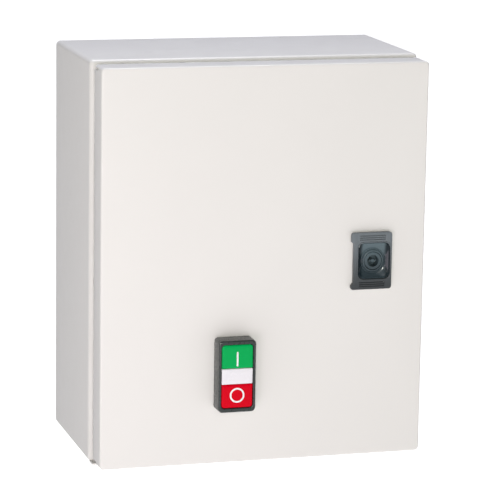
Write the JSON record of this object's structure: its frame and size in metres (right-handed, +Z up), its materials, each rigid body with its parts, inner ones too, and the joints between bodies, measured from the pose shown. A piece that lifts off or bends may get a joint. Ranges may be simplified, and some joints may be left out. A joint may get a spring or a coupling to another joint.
{
  "type": "enclosed motor protection starter",
  "caption": "Wall-mounted sheet-steel motor starter box with a hinged door, a quarter-turn lock and start and stop push-buttons, over a contactor and overload relay.",
  "frame": {"origin": "centre of the flat back face, which lies against the wall", "axes": "+Z up, +Y into the wall, door and buttons face -Y, hinges at -X and lock at +X"},
  "size_m": [0.25, 0.1653, 0.3],
  "materials": {
    "box_paint": "satin powder coat, light warm grey",
    "zinc_plate": "bright zinc plate",
    "plain_steel": "plain steel",
    "brass": "plain brass",
    "seal_rubber": "matt black rubber",
    "dark_plastic": "dark slate moulded plastic",
    "device_plastic": "dark grey moulded plastic",
    "cover_plastic": "light grey moulded plastic",
    "coil_winding": "varnished winding tape",
    "green_cap": "glossy green plastic",
    "red_cap": "glossy red plastic",
    "blue_key": "glossy blue plastic",
    "white_lens": "glossy white plastic",
    "symbol_white": "white moulded mark",
    "wire_sleeve": "black wire insulation"
  },
  "bodies": {
    "enclosure": {"enclosure_body": "box_paint", "fixing_hole_plug_1": "seal_rubber", "fixing_hole_plug_2": "seal_rubber", "fixing_hole_plug_3": "seal_rubber", "fixing_hole_plug_4": "seal_rubber", "gland_plate_seal": "seal_rubber", "gland_plate": "box_paint", "gland_plate_screw_1": "zinc_plate", "gland_plate_screw_2": "zinc_plate", "gland_plate_screw_3": "zinc_plate", "gland_plate_screw_4": "zinc_plate", "mounting_plate": "zinc_plate", "mounting_plate_nut_1": "plain_steel", "mounting_plate_nut_2": "plain_steel", "mounting_plate_nut_3": "plain_steel", "mounting_plate_nut_4": "plain_steel", "din_rail": "zinc_plate", "contactor_base": "device_plastic", "contactor_cover": "cover_plastic", "contactor_fixed_core": "plain_steel", "contactor_coil": "coil_winding", "overload_relay_housing": "device_plastic", "terminal_block": "cover_plastic", "earth_bar": "brass", "motor_wire_1": "wire_sleeve", "motor_wire_2": "wire_sleeve", "motor_wire_3": "wire_sleeve", "door_loom": "wire_sleeve", "upper_hinge_body_leaf": "zinc_plate", "lower_hinge_body_leaf": "zinc_plate", "upper_hinge_pin": "plain_steel", "lower_hinge_pin": "plain_steel", "latch_keeper": "zinc_plate"},
    "door": {"door_panel": "box_paint", "door_seal": "seal_rubber", "upper_hinge_door_leaf": "zinc_plate", "lower_hinge_door_leaf": "zinc_plate", "lock_housing": "dark_plastic", "lock_seal": "seal_rubber", "lock_nut": "zinc_plate", "button_bezel": "dark_plastic", "button_seal": "seal_rubber", "button_collar": "dark_plastic", "centre_lens": "white_lens", "start_contact_block": "green_cap", "stop_contact_block": "red_cap", "start_spring": "plain_steel", "stop_spring": "plain_steel"},
    "latch": {"lock_barrel": "dark_plastic", "lock_cam": "zinc_plate", "lock_cam_screw": "plain_steel"},
    "start": {"start_button": "green_cap", "start_symbol": "symbol_white"},
    "stop": {"stop_button": "red_cap", "stop_symbol": "symbol_white"},
    "armature": {"contactor_armature": "dark_plastic"},
    "dial": {"overload_dial": "white_lens"},
    "reset_key": {"overload_reset_button": "blue_key"},
    "test_key": {"overload_test_button": "red_cap"}
  },
  "joints": [
    {"name": "door_hinge", "type": "hinge", "parent": "enclosure", "child": "door", "pos_m": [-0.1192, -0.126, 0], "axis": [0, 0, -1], "range_deg": [0, 110], "deforming": ["door_loom"]},
    {"name": "latch_turn", "type": "hinge", "parent": "door", "child": "latch", "pos_m": [0.082, -0.1295, 0.0009], "axis": [0, -1, 0], "range_deg": [0, 90]},
    {"name": "start_press", "type": "slide", "parent": "door", "child": "start", "axis": [0, 1, 0], "range_m": [0, 0.004], "stiffness_N_per_m": 600, "springref_m": -0.004, "deforming": ["start_spring"]},
    {"name": "stop_press", "type": "slide", "parent": "door", "child": "stop", "axis": [0, 1, 0], "range_m": [0, 0.004], "stiffness_N_per_m": 600, "springref_m": -0.004, "deforming": ["stop_spring"]},
    {"name": "armature_pull_in", "type": "slide", "parent": "enclosure", "child": "armature", "axis": [0, 1, 0], "range_m": [0, 0.0042], "stiffness_N_per_m": 900, "springref_m": -0.004},
    {"name": "dial_turn", "type": "hinge", "parent": "enclosure", "child": "dial", "pos_m": [-0.041, -0.091, -0.014], "axis": [0, 1, 0], "range_deg": [0, 270]},
    {"name": "reset_press", "type": "slide", "parent": "enclosure", "child": "reset_key", "axis": [0, 1, 0], "range_m": [0, 0.003], "stiffness_N_per_m": 500, "springref_m": -0.003},
    {"name": "test_press", "type": "slide", "parent": "enclosure", "child": "test_key", "axis": [0, 1, 0], "range_m": [0, 0.002], "stiffness_N_per_m": 500, "springref_m": -0.003}
  ]
}
